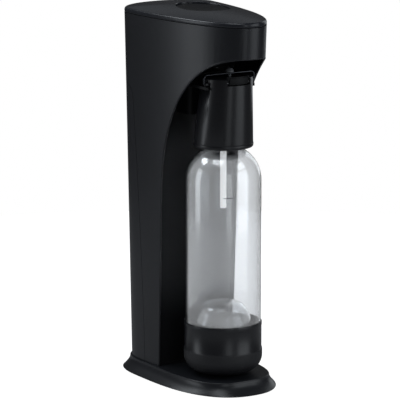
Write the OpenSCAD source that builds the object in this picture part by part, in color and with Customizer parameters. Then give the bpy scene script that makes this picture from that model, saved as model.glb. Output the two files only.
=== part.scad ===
// Free-standing soda carbonator with a docked bottle, in millimetres.
// Origin: centre of the underside. +Z is up and the front faces -Y.

/* [Which part] */
// node to draw, or all of them

/* [Plinth] */
// half width of the plinth where it meets the table
plinth_half = 64.2; // [58:0.2:70]
// half width of the plinth's flat top
plinth_top_half = 52.7; // [48:0.2:58]
// height of the plinth's flat top
plinth_top = 14.7; // [12:0.1:20]
// how far the rubber feet hold the plinth off the table
foot_lift = 1.2; // [0.6:0.1:2]

/* [Body] */
// half width of the body at its foot
body_low_half = 50.2; // [46:0.2:54]
// half width of the body at its top edge
body_high_half = 55.8; // [50:0.2:60]
// height of the seam under the top cap
seam_height = 403; // [380:1:430]
// height of the rounded edge of the top cap
cap_edge = 408.5; // [385:0.5:435]
// height of the crown above that edge
crown = 7; // [3:0.5:10]
// thickness of the moulded walls
wall = 2.6; // [2:0.1:3.5]
// height of the top edge of the rear cover
cover_top = 326; // [300:1:350]
// height where the cut-out's straight edges start to curve
arch_spring = 182; // [150:1:210]
// height of the top of the cut-out at the nose
arch_top = 370; // [355:1:380]

/* [Bottle] */
// outer radius of the bottle
bottle_radius = 41.5; // [38:0.5:45]
// distance of the bottle's centre line in front of the origin
bottle_reach = 42; // [38:0.5:46]
// height of the lip of the bottle's base cup
cup_lip = 73; // [60:1:90]
// outer radius of the dip tube
tube_radius = 3.5; // [2.5:0.1:4.5]
// height of the lower end of the dip tube
tube_end = 198.6; // [150:1:230]

/* [Infuser] */
// radius of the infuser's rim
rim_radius = 32.7; // [30:0.1:36]
// radius of the infuser's top
crest_radius = 27.6; // [25:0.1:31]
// height of the infuser's top face
crest_height = 344.6; // [335:0.5:352]
// how far the infuser's top leans forward
crest_lean = 7; // [0:0.5:10]

/* [Gas] */
// radius of the gas cylinder
gas_radius = 30; // [28:0.5:31]
// how far behind the origin the gas cylinder stands
gas_back = 54; // [50:0.5:58]
// travel of the push button
button_travel = 8; // [5:0.5:10]

/* [Hidden] */
$fn = 96;
round_side = 64;
skin_points = 96;
gap = 0.3;
body_foot = plinth_top;
body_rows = 8;
axis_y = -bottle_reach;
rim_low = 266.8;
rim_high = 271.4;
pivot_y = 80;
pivot_z = 388;
deck_low = 372;
deck_high = 375;
panel_y = 16.5;
panel_thick = 2.4;
soffit_turn = 26;
soffit_angle = 80;
soffit_nose = 373.5;
lever_front = -6;
button_long = 37.6;
button_half = 25;
button_face = 412.4;
neck_radius = 10.8;
holder_radius = 17;
spring_y = -19;

// ---- shapes shared by the parts ----

function mix(a, b, t) = a + (b - a) * t;
function bend(v, e) = sign(v) * pow(abs(v), e);

// closed egg-shaped outline; each half has its own pair of exponents
function egg(half, front, back, middle, ef, eb) =
    [for (i = [0:skin_points - 1])
        let (a = 360 * i / skin_points, e = sin(a) < 0 ? ef : eb)
        [half * bend(cos(a), 2 / e[1]),
         middle + (sin(a) < 0 ? middle - front : back - middle) * bend(sin(a), 2 / e[0])]];

// outline of the body at height z, moved inwards by inset
function body_outline(z, inset) =
    let (t = (z - body_foot) / (cap_edge - body_foot))
    egg(mix(body_low_half, body_high_half, t) - inset,
        mix(-81, -104.4, t) + inset,
        mix(95, 101.5, t) - inset,
        mix(45, 68.8, t),
        [2, 2.2],
        [mix(3.2, 1.7, t), mix(2.8, 2.2, t)]);

function body_rings(low, high, inset, rows) =
    [for (j = [0:rows]) let (z = mix(low, high, j / rows)) [z, body_outline(z, inset)]];

// closed solid through a stack of outlines, each [height, points]
module loft(rings) {
    n = len(rings[0][1]);
    last = (len(rings) - 1) * n;
    points = [for (ring = rings) for (p = ring[1]) [p[0], p[1], ring[0]]];
    sides = [for (j = [0:len(rings) - 2]) for (i = [0:n - 1])
        let (a = j * n + i, b = j * n + (i + 1) % n)
        each [[a, b + n, b], [a, a + n, b + n]]];
    low = [[for (i = [0:n - 1]) i]];
    high = [[for (i = [n - 1:-1:0]) last + i]];
    polyhedron(points = points, faces = concat(sides, low, high), convexity = 6);
}

// extrudes a side view drawn as [y, z] across the object
module across(width) {
    translate([-width / 2, 0, 0])
        rotate([90, 0, 90])
            linear_extrude(width)
                children();
}

// tube along a list of points, with flat ends
function unit(v) = v / norm(v);
function tube_ring(path, i, radius, count) =
    let (last = len(path) - 1,
         along = unit(path[min(i + 1, last)] - path[max(i - 1, 0)]),
         side = abs(along[0]) < 0.9 ? unit(cross(along, [1, 0, 0])) : unit(cross(along, [0, 1, 0])),
         lift = cross(along, side))
    [for (k = [0:count - 1])
        let (a = 360 * k / count)
        path[i] + radius * (cos(a) * side + sin(a) * lift)];

module swept_tube(path, radius, count) {
    rows = len(path);
    points = [for (i = [0:rows - 1]) each tube_ring(path, i, radius, count)];
    sides = [for (j = [0:rows - 2]) for (i = [0:count - 1])
        let (a = j * count + i, b = j * count + (i + 1) % count)
        each [[a, b + count, b], [a, a + count, b + count]]];
    low = [[for (i = [0:count - 1]) i]];
    high = [[for (i = [count - 1:-1:0]) (rows - 1) * count + i]];
    polyhedron(points = points, faces = concat(sides, low, high), convexity = 8);
}

// side view of the region the front cut-out removes
function arch_points() =
    let (foot = 15, start = 8.8, centre = -104)
    concat(
        [[-200, -5], [foot, -5], [foot, body_foot]],
        [for (k = [0:24])
            let (a = 90 * k / 24)
            [centre + (start - centre) * pow(cos(a), 2 / 1.8),
             arch_spring + (arch_top - arch_spring) * pow(sin(a), 2 / 2.5)]],
        [[-200, arch_top]]);

// side view of the rear cover's region, grown on all sides by extra
function cover_seam(z) = 41.3 + 12.5 * pow(z / 263, 1.6);
function cover_points(extra) =
    let (corner = 18, low = cover_top - corner, y = cover_seam(low))
    concat(
        [[cover_seam(0) - extra, -5]],
        [for (k = [0:12]) let (z = mix(0, low, k / 12)) [cover_seam(z) - extra, z]],
        [for (k = [1:8])
            let (a = 90 * k / 8)
            [y + corner - (corner + extra) * cos(a), low + (corner + extra) * sin(a)]],
        [[200, cover_top + extra], [200, -5]]);

// front face of the recessed panel and the ceiling it turns into, moved back by depth
function panel_line(depth) =
    let (cy = panel_y - soffit_turn, cz = 330, r = soffit_turn + depth)
    concat(
        [[panel_y + depth, body_foot + 0.1]],
        [for (k = [0:8]) let (a = soffit_angle * k / 8) [cy + r * cos(a), cz + r * sin(a)]],
        [[-120, soffit_nose + 3.2 + depth]]);
function reversed(list) = [for (i = [len(list) - 1:-1:0]) list[i]];

// oval used for the button and its well
function oval(grow) =
    [for (i = [0:63])
        let (a = 360 * i / 64)
        [(button_half + grow) * cos(a), (button_long + grow) * sin(a)]];

module screw(head, shank, length) {
    cylinder(r = head, h = 1.8, $fn = round_side);
    translate([0, 0, -length])
        cylinder(r = shank, h = length, $fn = round_side);
}

// ---- plinth ----

function plinth_ring(z, part, inset) =
    [z, egg(mix(plinth_half, plinth_top_half, part) - inset,
            mix(-104.2, -89.8, part) + inset,
            mix(104.4, 99.4, part) - inset,
            mix(34.7, 36.2, part),
            [mix(3, 3.9, part), mix(2.3, 3.2, part)],
            [mix(2.8, 3.2, part), mix(2.5, 2.7, part)])];

function skirt_part(t) = 1 - pow(1 - t, 1.9);

module plinth() {
    color("#202124")
    for (p = plate_screws)
        translate([p[0], p[1], foot_lift + 2.7])
            difference() {
                cylinder(r = 4.2, h = 9, $fn = round_side);
                translate([0, 0, -1])
                    cylinder(r = 1.75, h = 8, $fn = round_side);
            }
    color("#202124")
    difference() {
        loft(concat(
            [plinth_ring(foot_lift, 0, 0.6), plinth_ring(foot_lift + 0.7, 0, 0)],
            [for (k = [1:9])
                let (t = k / 9)
                plinth_ring(mix(foot_lift + 2.4, plinth_top - 0.8, t), skirt_part(t), 0)],
            [plinth_ring(plinth_top, 1, 0.7)]));
        loft([plinth_ring(-1, 1, 3.4), plinth_ring(plinth_top - 3.2, 1, 3.4)]);
    }
}

module bottom_plate() {
    color("#2b2c2f")
    difference() {
        loft([plinth_ring(foot_lift + 0.4, 1, 3.7), plinth_ring(foot_lift + 2.6, 1, 3.7)]);
        for (p = plate_screws)
            translate([p[0], p[1], -1])
                cylinder(r = 1.9, h = 8, $fn = round_side);
        for (p = foot_spots)
            translate([p[0], p[1], -1])
                cylinder(r = 5.1, h = 8, $fn = round_side);
    }
}

plate_screws = [[-38, -48], [38, -48], [-40, 76], [40, 76]];
foot_spots = [[-33, -60], [33, -60], [-36, 62], [36, 62]];

module plinth_screws() {
    color("#9a9ca0")
    for (p = plate_screws)
        translate([p[0], p[1], foot_lift + 0.4])
            mirror([0, 0, 1]) {
                translate([0, 0, -8])
                    cylinder(r = 1.7, h = 8, $fn = round_side);
                cylinder(r = 3.4, h = 0.7, $fn = round_side);
            }
}

module rubber_feet() {
    color("#111111")
    for (p = foot_spots)
        translate([p[0], p[1], 0]) {
            cylinder(r = 7.5, h = foot_lift + 0.35, $fn = round_side);
            cylinder(r = 4.9, h = foot_lift + 4, $fn = round_side);
        }
}

// ---- body ----

module front_shell() {
    color("#26282b")
    difference() {
        loft(body_rings(body_foot, seam_height, 0, body_rows));
        loft(body_rings(body_foot - 2, seam_height + 2, wall, body_rows));
        across(300)
            polygon(arch_points());
        across(300)
            polygon(cover_points(0.5));
    }
}

module front_panel() {
    color("#1d1e20")
    difference() {
        intersection() {
            loft(body_rings(body_foot, seam_height, wall + gap, body_rows));
            across(300)
                polygon(concat(panel_line(0), reversed(panel_line(panel_thick))));
        }
        translate([0, panel_y + 10, 325])
            rotate([90, 0, 0])
                cylinder(r = 9, h = 20, $fn = round_side);
        for (x = [-13, 13])
            for (z = dock_screw_z)
                translate([x, panel_y + 10, z])
                    rotate([90, 0, 0])
                        cylinder(r = 1.8, h = 20, $fn = round_side);
    }
}

module top_cap() {
    color("#303236")
    difference() {
        loft(concat(
            [[seam_height + 0.2, body_outline(seam_height, 0.9)],
             [seam_height + 1.1, body_outline(seam_height + 1, 0.1)],
             [cap_edge - 1.6, body_outline(cap_edge - 1.6, 0)],
             [cap_edge - 0.5, body_outline(cap_edge, 0.5)],
             [cap_edge + 0.2, body_outline(cap_edge, 1.7)]],
            [for (k = [1:7])
                let (t = 1 - k / 8)
                [cap_edge + 0.2 + (crown - 0.2) * (1 - t * t),
                 crown_outline(t)]]));
        loft(concat(
            [[seam_height - 1, body_outline(seam_height, wall)],
             [cap_edge - 2, body_outline(cap_edge - 2, wall)]],
            [for (k = [1:7])
                let (t = 1 - k / 8)
                [cap_edge - 2.4 + (crown - 0.2) * (1 - t * t),
                 crown_outline(t)]]));
        translate([0, 0, seam_height - 2])
            linear_extrude(30)
                polygon(oval(0.5));
    }
    color("#303236")
    difference() {
        translate([0, 0, cap_edge - 8.5])
            linear_extrude(13)
                polygon(oval(2.6));
        translate([0, 0, cap_edge - 10])
            linear_extrude(14)
                polygon(oval(0.5));
    }
}

// outline shrunk towards the middle of the cap
function crown_outline(t) =
    [for (p = body_outline(cap_edge, 1.7)) [p[0] * t, p[1] * t]];

grip_half = 9;
grip_floor = 98.4;

module rear_cover() {
    color("#26282b")
    intersection() {
        difference() {
            loft(body_rings(body_foot + gap, cover_top + 4, 0, body_rows));
            loft(body_rings(body_foot - 3.3, cover_top + 9, wall, body_rows));
            // shallow finger recess, less deep than the wall
            translate([-grip_half, grip_floor, cover_top - 20])
                cube([2 * grip_half, 10, 10]);
        }
        across(300)
            polygon(cover_points(0));
    }
}

module chassis_deck() {
    color("#3a3c40")
    difference() {
        intersection() {
            loft(body_rings(body_foot, seam_height, wall + gap, body_rows));
            translate([-80, -34, deck_low])
                cube([160, 160, deck_high - deck_low]);
        }
        translate([0, gas_back, deck_low - 1])
            cylinder(r = 13.2, h = 10, $fn = round_side);
        for (p = deck_spots)
            translate([p[0], p[1], deck_low - 1])
                cylinder(r = 1.8, h = 10, $fn = round_side);
    }
}

deck_spots = [[-22, 36], [22, 36], [-22, 72], [22, 72]];

module deck_screws() {
    color("#a5a7ab")
    for (p = deck_spots)
        translate([p[0], p[1], deck_high])
            screw(3.2, 1.6, 9);
}

// ---- gas side ----

module valve_holder() {
    color("#4a4c50")
    difference() {
        union() {
            translate([0, gas_back, 344])
                cylinder(r = holder_radius, h = deck_low - 344);
            translate([0, gas_back, deck_low - 0.5])
                cylinder(r = 13, h = 5.5);
            for (p = deck_spots)
                translate([p[0], p[1], deck_low - 9])
                    cylinder(r = 4.2, h = 9, $fn = round_side);
            for (y = [36, 72])
                translate([-22, y - 2.5, deck_low - 3.5])
                    cube([44, 5, 3.5]);
        }
        translate([0, gas_back, 343])
            cylinder(r = neck_radius + 0.1, h = 17);
        translate([0, gas_back, 359])
            cylinder(r = 4, h = 7);
        translate([0, gas_back, 360])
            cylinder(r = 2.05, h = 30, $fn = round_side);
        translate([0, gas_back, 363])
            rotate([90, 0, 0])
                cylinder(r = 1.6, h = 40, $fn = round_side);
        translate([0, gas_back - 16, 363])
            rotate([90, 0, 0])
                cylinder(r = 3.6, h = 20, $fn = round_side);
        translate([0, gas_back, 363])
            rotate([0, 90, 0])
                cylinder(r = 1.6, h = 40, $fn = round_side);
        translate([11, gas_back, 363])
            rotate([0, 90, 0])
                cylinder(r = 3.6, h = 20, $fn = round_side);
        for (p = deck_spots)
            translate([p[0], p[1], deck_low - 9.5])
                cylinder(r = 1.65, h = 12, $fn = round_side);
    }
}

module holder_seal() {
    color("#151515")
    translate([0, gas_back, 358.1])
        rotate_extrude($fn = round_side)
            translate([6.6, 0])
                circle(r = 1.6, $fn = 24);
}

module relief_valve() {
    color("#b08d3c")
    translate([0, gas_back, 363])
        rotate([0, 90, 0])
            difference() {
                union() {
                    translate([0, 0, 11.2])
                        cylinder(r = 3.5, h = 9, $fn = round_side);
                    translate([0, 0, 17.2])
                        cylinder(r = 5.2, h = 4, $fn = 6);
                }
                translate([0, 0, 19])
                    cylinder(r = 1.5, h = 4, $fn = round_side);
            }
}

tube_path = [[0, 33.5, 363], [0, 30, 363], [0, 27.5, 361.8], [0, 25.6, 359.6], [0, 24.8, 356.5],
    [0, 24.6, 350], [0, 24.6, 344], [0, 24.6, 338], [0, 24.6, 333], [0, 24.2, 329.5],
    [0, 22.8, 326.8], [0, 20.5, 325.3], [0, 18, 325], [0, 12.6, 325]];

module gas_tube() {
    color("#c9cbce")
    swept_tube(tube_path, 2, 16);
}

module tube_nuts() {
    color("#b08d3c") {
        translate([0, gas_back - 16.2, 363])
            rotate([90, 0, 0])
                difference() {
                    union() {
                        cylinder(r = 3.5, h = 2, $fn = round_side);
                        translate([0, 0, 0.9])
                            cylinder(r = 5.4, h = 3.4, $fn = 6);
                    }
                    translate([0, 0, -1])
                        cylinder(r = 2.1, h = 8, $fn = round_side);
                }
        translate([0, 19.9, 325])
            rotate([90, 0, 0])
                difference() {
                    cylinder(r = 5.4, h = 3.2, $fn = 6);
                    translate([0, 0, -1])
                        cylinder(r = 2.1, h = 8, $fn = round_side);
                }
    }
}

dock_screw_z = [306, 327];
fork_low = 332.4;
fork_thick = 3;

module dock_block() {
    color("#1a1b1d")
    difference() {
        union() {
            translate([-17, -8, 298])
                cube([34, panel_y + 8 - 0.05, 44]);
            translate([-17, -2, 298])
                cylinder(r = 6, h = 44, $fn = round_side);
            translate([17, -2, 298])
                cylinder(r = 6, h = 44, $fn = round_side);
            translate([-23, -2, 298])
                cube([46, panel_y + 2 - 0.05, 44]);
        }
        translate([0, 30, 325])
            rotate([90, 0, 0])
                cylinder(r = 5.05, h = 60, $fn = round_side);
        for (x = [-13, 13])
            for (z = dock_screw_z)
                translate([x, 30, z])
                    rotate([90, 0, 0])
                        cylinder(r = 1.65, h = 24, $fn = round_side);
        for (x = [-23.1, 20.9])
            translate([x, -9, fork_low - 0.1])
                cube([2.2, 20, fork_thick + 0.2]);
        across(80)
            polygon(concat(panel_line(-0.1), [[-120, 420], [200, 420], [200, body_foot]]));
    }
}

module dock_screws() {
    color("#a5a7ab")
    for (x = [-13, 13])
        for (z = dock_screw_z)
            translate([x, panel_y + panel_thick, z])
                rotate([-90, 0, 0])
                    screw(3.2, 1.6, 12);
}

module dock_nozzle() {
    color("#c4c6c9")
    translate([0, 14, 325])
        rotate([90, 0, 0])
            difference() {
                union() {
                    cylinder(r = 5, h = 22);
                    cylinder(r = 3.6, h = 34);
                    translate([0, 0, 22])
                        cylinder(r = 4.6, h = 1.6);
                    translate([0, 0, 31])
                        cylinder(r = 4.3, h = 3);
                }
                translate([0, 0, -1])
                    cylinder(r = 2.1, h = 3, $fn = round_side);
                cylinder(r = 1.2, h = 40, $fn = round_side);
            }
}

module nozzle_seal() {
    color("#151515")
    translate([0, -14, 325])
        rotate([90, 0, 0])
            difference() {
                cylinder(r = 4.5, h = 2, $fn = round_side);
                translate([0, 0, -1])
                    cylinder(r = 3.65, h = 4, $fn = round_side);
            }
}

// flat steel fork that carries the infuser by the grooves in its sides
module dock_fork() {
    color("#55575b")
    for (s = [-1, 1])
        translate([0, 0, fork_low])
            linear_extrude(fork_thick)
                polygon([[s * 21, 9], [s * 21, -7.6], [s * 27.4, -16], [s * 27.4, -56], [s * 29.4, -58],
                    [s * 31, -56], [s * 31, -13], [s * 24.6, -4], [s * 24.6, -1.6], [s * 23.2, -1.6],
                    [s * 23.2, 9]]);
}

module lever_bracket() {
    color("#3a3c40")
    for (x = [-10, 6.4])
        difference() {
            union() {
                translate([x, pivot_y - 5, deck_high])
                    cube([3.6, 10, pivot_z - deck_high]);
                translate([x, pivot_y, pivot_z])
                    rotate([0, 90, 0])
                        cylinder(r = 5, h = 3.6, $fn = round_side);
            }
            translate([x - 1, pivot_y, pivot_z])
                rotate([0, 90, 0])
                    cylinder(r = 2.03, h = 6, $fn = round_side);
        }
}

module lever_pin() {
    color("#b9bbbe")
    translate([-10.6, pivot_y, pivot_z])
        rotate([0, 90, 0])
            cylinder(r = 2, h = 21.2, $fn = round_side);
}

module cylinder_cradle() {
    color("#2b2c2f")
    translate([0, gas_back, body_foot])
        difference() {
            intersection() {
                cylinder(r = gas_radius + 3.6, h = 16);
                translate([-60, -60, 0])
                    cube([120, 60, 30]);
            }
            translate([0, 0, 4])
                cylinder(r = gas_radius + 0.4, h = 20);
            translate([0, 0, -1])
                cylinder(r = 16, h = 20);
        }
}

module co2_cylinder() {
    color("#c6c8cb")
    translate([0, gas_back, 0])
        rotate_extrude()
            polygon(concat(
                [[0, 24.5], [12, 22.2], [18, 19.6], [24, 19.4], [27, 20.2]],
                [for (k = [1:6])
                    let (a = 90 * k / 6)
                    [27 + (gas_radius - 27) * sin(a), 23.4 - 3.2 * cos(a)]],
                [for (k = [0:10])
                    let (a = 75 * k / 10)
                    [gas_radius - 15.5 * (1 - cos(a)) / (1 - cos(75)), 292 + 30 * sin(a) / sin(75)]],
                [[14.5, 331], [0, 331]]));
}

module cylinder_valve() {
    color("#b08d3c")
    translate([0, gas_back, 0])
        difference() {
            union() {
                translate([0, 0, 331])
                    cylinder(r = 15, h = 9, $fn = 6);
                translate([0, 0, 340])
                    cylinder(r = neck_radius, h = 16);
            }
            translate([0, 0, 350])
                cylinder(r = 3.2, h = 8, $fn = round_side);
        }
}

module valve_pusher() {
    color("#b9bbbe")
    translate([0, gas_back, 354.4])
        cylinder(r = 2, h = 28.7, $fn = round_side);
}

module actuator_lever() {
    color("#4a4c50")
    difference() {
        union() {
            translate([-6, lever_front, pivot_z - 4.3])
                cube([12, pivot_y - lever_front, 6]);
            translate([-6, pivot_y, pivot_z])
                rotate([0, 90, 0])
                    cylinder(r = 4.6, h = 12, $fn = round_side);
            translate([-1.2, 10, pivot_z + 1.7])
                cube([2.4, 62, 2.4]);
        }
        translate([-8, pivot_y, pivot_z])
            rotate([0, 90, 0])
                cylinder(r = 2.05, h = 16, $fn = round_side);
    }
}

module push_button() {
    color("#222326")
    difference() {
        union() {
            translate([0, 0, button_face - 9])
                linear_extrude(9)
                    polygon(oval(0));
            translate([0, 0, pivot_z + 2.5])
                cylinder(r = 4, h = button_face - 4 - pivot_z - 2.5, $fn = round_side);
        }
        translate([0, 0, button_face - 10])
            linear_extrude(7.4)
                difference() {
                    polygon(oval(-2.2));
                    circle(r = 3.9, $fn = round_side);
                }
        translate([0, 0, button_face + 158.4])
            sphere(r = 160, $fn = 128);
    }
}

spring_turns = 5;
spring_low = deck_high + 0.9;
spring_high = button_face - 3.6;

module button_spring() {
    color("#b9bbbe")
    translate([0, spring_y, 0])
        swept_tube([for (k = [0:60])
            let (a = 360 * spring_turns * k / 60)
            [6.5 * cos(a), 6.5 * sin(a), mix(spring_low, spring_high, k / 60)]], 0.7, 8);
}

// ---- infuser ----

function crest_part(z) = (z - rim_high) / (crest_height - rim_high);
function cone_radius(z) = mix(rim_radius - 0.4, crest_radius, crest_part(z));
function cone_shift(z) = axis_y - crest_lean * crest_part(z);

function disc(radius, y) =
    [for (i = [0:skin_points - 1])
        let (a = 360 * i / skin_points)
        [radius * cos(a), y + radius * sin(a)]];

function inner_part(z) = (z - rim_high + 1) / (crest_height - rim_high - 3);
function inner_radius(z) = mix(cone_radius(rim_high) - 2.4, crest_radius - 2.6, inner_part(z));
function inner_y(z) = axis_y - crest_lean * inner_part(z);

module infuser_housing() {
    top_y = axis_y - crest_lean;
    color("#2a2b2e")
    for (s = [-1, 1])
        translate([s * 28.1, bail_y, bail_foot_z])
            rotate([0, 90, 0])
                difference() {
                    translate([0, 0, -2.5])
                        cylinder(r = 2.3, h = 5, $fn = round_side);
                    translate([0, 0, -4])
                        cylinder(r = 0.86, h = 8, $fn = round_side);
                }
    color("#2a2b2e")
    difference() {
        loft([[rim_high + 0.1, disc(rim_radius - 0.6, axis_y)],
              [rim_high + 0.8, disc(rim_radius - 0.4, axis_y)],
              [crest_height - 1.4, disc(cone_radius(crest_height - 1.4), cone_shift(crest_height - 1.4))],
              [crest_height - 0.4, disc(crest_radius - 0.5, top_y)],
              [crest_height, disc(crest_radius - 1.6, top_y)]]);
        loft([[rim_high - 1, disc(cone_radius(rim_high) - 2.4, axis_y)],
              [crest_height - 4, disc(crest_radius - 2.6, top_y)]]);
        // open seat of the top insert
        translate([0, top_y, crest_height - 5])
            cylinder(r = seat_radius, h = 10);
        // side grooves that the fork slides in
        for (s = [-1, 1])
            translate([s * 31 - 4.4, -80, fork_low - 0.6])
                cube([8.8, 70, fork_thick + 1.2]);
        // holes that hold the ends of the release pin
        translate([-15.6, tab_y, tab_hinge_z])
            rotate([0, 90, 0])
                cylinder(r = 0.82, h = 31.2, $fn = round_side);
        // window of the release tab
        translate([-14.2, -90, 337.4])
            cube([28.4, 22, 10]);
        // pivot holes of the bail
        translate([-40, bail_y, bail_foot_z])
            rotate([0, 90, 0])
                cylinder(r = 0.86, h = 80, $fn = round_side);
        // port for the gas nozzle
        translate([0, 0, port_z])
            rotate([90, 0, 0])
                cylinder(r = 5.4, h = 30, $fn = round_side);
    }
}

module infuser_rim() {
    color("#2a2b2e")
    translate([0, axis_y, 0])
        rotate_extrude()
            polygon([[25, rim_low + 1], [rim_radius - 2.2, rim_low], [rim_radius - 0.6, rim_low + 0.7],
                [rim_radius, rim_low + 2.4], [rim_radius, rim_high - 0.5], [rim_radius - 0.5, rim_high],
                [25, rim_high]]);
}

// cap inside the infuser that screws onto the bottle and leads the gas to the dip tube
module infuser_core() {
    color("#3a3c40")
    difference() {
        union() {
            translate([0, axis_y, 0]) {
                cylinder_at(20.5, 272, 304);
                cylinder_at(8, 303, 331);
            }
            loft([[300, disc(inner_radius(300) - 0.1, inner_y(300))],
                  [303, disc(inner_radius(303) - 0.1, inner_y(303))]]);
            translate([0, axis_y, port_z])
                rotate([-90, 0, 0])
                    cylinder(r = 4.2, h = 20);
        }
        translate([0, axis_y, 0]) {
            cylinder_at(16.6, 270, 296);
            cylinder_at(tube_radius, 290, 312);
            cylinder_at(1.5, 311, port_z + 1.5);
        }
        translate([0, axis_y, port_z])
            rotate([-90, 0, 0])
                cylinder(r = 1.5, h = 30, $fn = round_side);
    }
}

module cylinder_at(radius, low, high) {
    translate([0, 0, low])
        cylinder(r = radius, h = high - low);
}

module infuser_gasket() {
    color("#8d1f1f")
    translate([0, axis_y, 0])
        difference() {
            cylinder_at(16.4, 293.6, 295.9);
            cylinder_at(9, 293, 297);
        }
}

seat_radius = 19.6;
port_z = 325;

module infuser_top() {
    color("#2a2b2e")
    translate([0, axis_y - crest_lean, 0])
        difference() {
            union() {
                cylinder_at(seat_radius - 0.2, crest_height - 6, crest_height - 0.8);
                cylinder_at(9, crest_height - 12, crest_height - 6);
            }
            translate([knob_x, knob_y - axis_y + crest_lean, 0])
                cylinder_at(2.05, 320, 350);
        }
}

module slow_release_knob() {
    color("#a9abae")
    translate([knob_x, knob_y, 0])
        union() {
            cylinder_at(2, 334, 347.6);
            translate([0, 0, 347.4])
                knob_dome();
        }
}

knob_x = 4.4;
knob_y = axis_y - 5.3;

module knob_dome() {
    rotate_extrude($fn = round_side)
        polygon(concat(
            [[0, 0], [4.6, 0]],
            [for (k = [0:9]) let (a = 90 * k / 10) [4.9 * cos(a), 0.8 + 4.6 * sin(a)]],
            [[0, 5.4]]));
}

tab_hinge_z = 340.6;
tab_y = -70.6;

module release_tab() {
    color("#222326")
    difference() {
        union() {
            tab_plate(25.9, 26.8, 338.3, 347);
            tab_plate(27.3, 23.4, 339.4, 345.9);
            translate([-8, tab_y - 3.9, tab_hinge_z - 1.7])
                cube([16, 3.9, 3.4]);
            translate([-8, tab_y, tab_hinge_z])
                rotate([0, 90, 0])
                    cylinder(r = 1.7, h = 16, $fn = round_side);
        }
        translate([-20, tab_y, tab_hinge_z])
            rotate([0, 90, 0])
                cylinder(r = 0.85, h = 40, $fn = round_side);
    }
}

// curved plate between the ring's inside and the radius outer
module tab_plate(outer, width, low, high) {
    intersection() {
        translate([0, axis_y - crest_lean, 0])
            difference() {
                cylinder_at(outer, low, high);
                cylinder_at(24.4, 330, 350);
            }
        translate([-width / 2, -80, 330])
            cube([width, 20, 30]);
    }
}

module release_pin() {
    color("#b9bbbe")
    translate([-15.5, tab_y, tab_hinge_z])
        rotate([0, 90, 0])
            cylinder(r = 0.8, h = 31, $fn = round_side);
}

bail_half = 31.8;
bail_y = -53;
bail_foot_z = 338;
bail_top = [-53.5, 348];
function bail_side() =
    let (turn = 4)
    [for (k = [0:5])
        let (a = 90 * k / 5)
        [bail_half - turn + turn * cos(a), turn * sin(a)]];
bail_run = norm([bail_top[0] - bail_y, bail_top[1] - bail_foot_z]);
bail_dir = [bail_top[0] - bail_y, bail_top[1] - bail_foot_z] / bail_run;
function bail_at(x, along) =
    [x, bail_y + bail_dir[0] * along, bail_foot_z + bail_dir[1] * along];
bail_path = concat(
    [bail_at(26.2, 0), bail_at(30.7, 0), bail_at(31.4, 0.3), bail_at(31.75, 1)],
    [for (p = bail_side()) bail_at(p[0], bail_run - 4 + p[1])],
    [for (p = reversed(bail_side())) bail_at(-p[0], bail_run - 4 + p[1])],
    [bail_at(-31.75, 1), bail_at(-31.4, 0.3), bail_at(-30.7, 0), bail_at(-26.2, 0)]);

module bail_wire() {
    color("#77797d")
    swept_tube(bail_path, 0.8, 12);
}

module dip_tube() {
    color("#e8e8e6")
    translate([0, axis_y, 0])
        difference() {
            cylinder_at(tube_radius - 0.05, tube_end, 311.9);
            cylinder_at(tube_radius - 1, tube_end - 1, 313);
        }
}

// ---- bottle ----

neck_outer = 16;
shoulder_low = 230;
shoulder_tall = 39.3;
bottle_wall = 1.2;
function bottle_shoulder(inset) =
    let (r = bottle_radius - inset, h = shoulder_tall - inset, last = acos((neck_outer - inset) / r))
    [for (k = [1:14])
        let (a = last * k / 14)
        [r * cos(a), shoulder_low + h * sin(a)]];
// radius of the bottle's heel, and the height of its centre
heel = 9;
heel_height = 31;
// top of the hollow pushed up into the bottle's foot, and how blunt it is
punt_top = 94;
punt_power = 3.6;
function heel_start(inset) = asin(inset / (heel - inset));
function heel_floor(inset) = heel_height - (heel - inset) * cos(heel_start(inset));
function bottle_side(inset) = concat(
    [for (k = [0:10])
        let (a = mix(heel_start(inset), 90, k / 10))
        [bottle_radius - heel + (heel - inset) * sin(a), heel_height - (heel - inset) * cos(a)]],
    [[bottle_radius - inset, 120], [bottle_radius - inset, shoulder_low]],
    bottle_shoulder(inset),
    [[neck_outer - inset, 293.4]]);
function bottle_dome(inset) =
    let (low = heel_floor(inset), bluntness = 2 / punt_power)
    [for (k = [0:20])
        let (a = 90 * k / 20)
        [(bottle_radius - heel + inset) * pow(sin(a), bluntness),
         low + (punt_top + inset - low) * pow(cos(a), bluntness)]];

module bottle() {
    color("#cfd6da", 0.35)
    translate([0, axis_y, 0])
        rotate_extrude()
            polygon(concat(
                bottle_side(0),
                reversed(bottle_side(bottle_wall)),
                reversed(bottle_dome(bottle_wall)),
                bottle_dome(0)));
}

module base_cup() {
    color("#2a2b2e")
    translate([0, axis_y, 0])
        rotate_extrude()
            polygon(concat(
                [[0, 16.4], [24, 16.4]],
                [for (k = [1:8])
                    let (a = 90 * k / 8)
                    [24 + 19 * sin(a), 34.6 - 18.2 * cos(a)]],
                [[43, 42], [42.7, 43.4], [42.2, 44], [42.2, cup_lip - 4.6], [42.35, cup_lip - 4],
                 [42.35, cup_lip - 0.5], [41.9, cup_lip], [41.6, cup_lip], [41.6, heel_height]],
                [for (k = [1:7])
                    let (a = 90 - 90 * k / 8)
                    [bottle_radius - heel + (heel + 0.3) * sin(a), heel_height - (heel + 0.3) * cos(a)]],
                [[30, 20.6], [0, 19]]));
}

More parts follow.
